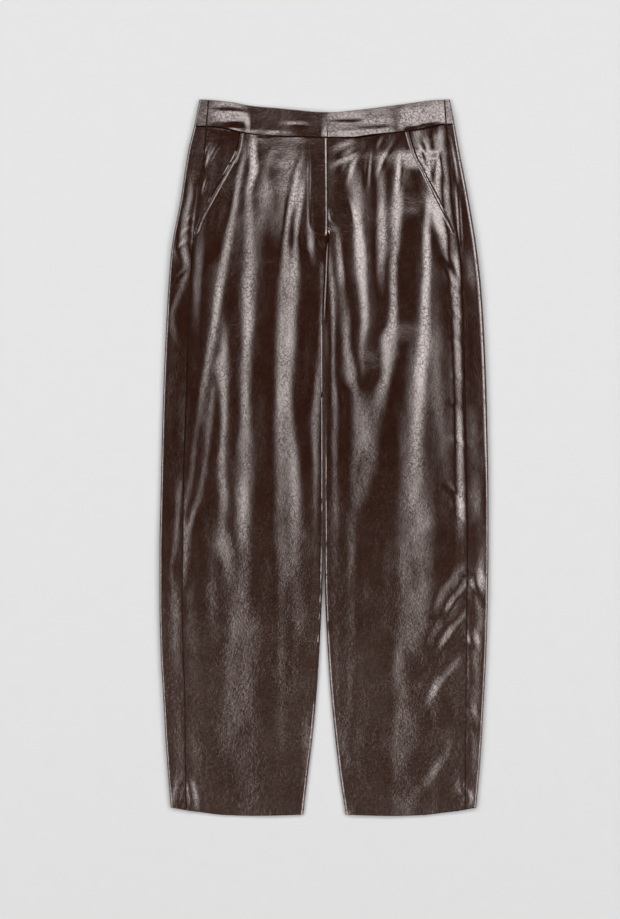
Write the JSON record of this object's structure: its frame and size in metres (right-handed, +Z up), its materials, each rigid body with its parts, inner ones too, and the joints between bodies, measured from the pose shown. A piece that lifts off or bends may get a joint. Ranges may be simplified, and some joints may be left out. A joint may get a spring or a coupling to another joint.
{
  "type": "women's leather trousers, laid flat",
  "caption": "High-waisted straight-leg leather trousers with slanted front pockets, a fly and a plain waistband, laid out flat with the front up in soft long folds.",
  "frame": {"origin": "middle of the garment's outline, on the surface that it lies on", "axes": "+Y towards the waist, +Z up out of the front, +X towards the wearer's left leg, which is on the right in the picture"},
  "size_m": [0.468, 1.0178, 0.0165],
  "materials": {
    "leather": "glossy dark brown with a fine crackled grain",
    "zip_tape": "woven tape, dark brown",
    "hook_steel": "satin"
  },
  "bodies": {
    "root": {"front_right": "leather", "front_left": "leather", "back_right": "leather", "back_left": "leather", "pocket_facing_right": "leather", "pocket_facing_left": "leather", "waistband_front_right": "leather", "waistband_front_left": "leather", "waistband_back": "leather", "fly_zip": "zip_tape", "waist_hook": "hook_steel"}
  },
  "joints": []
}
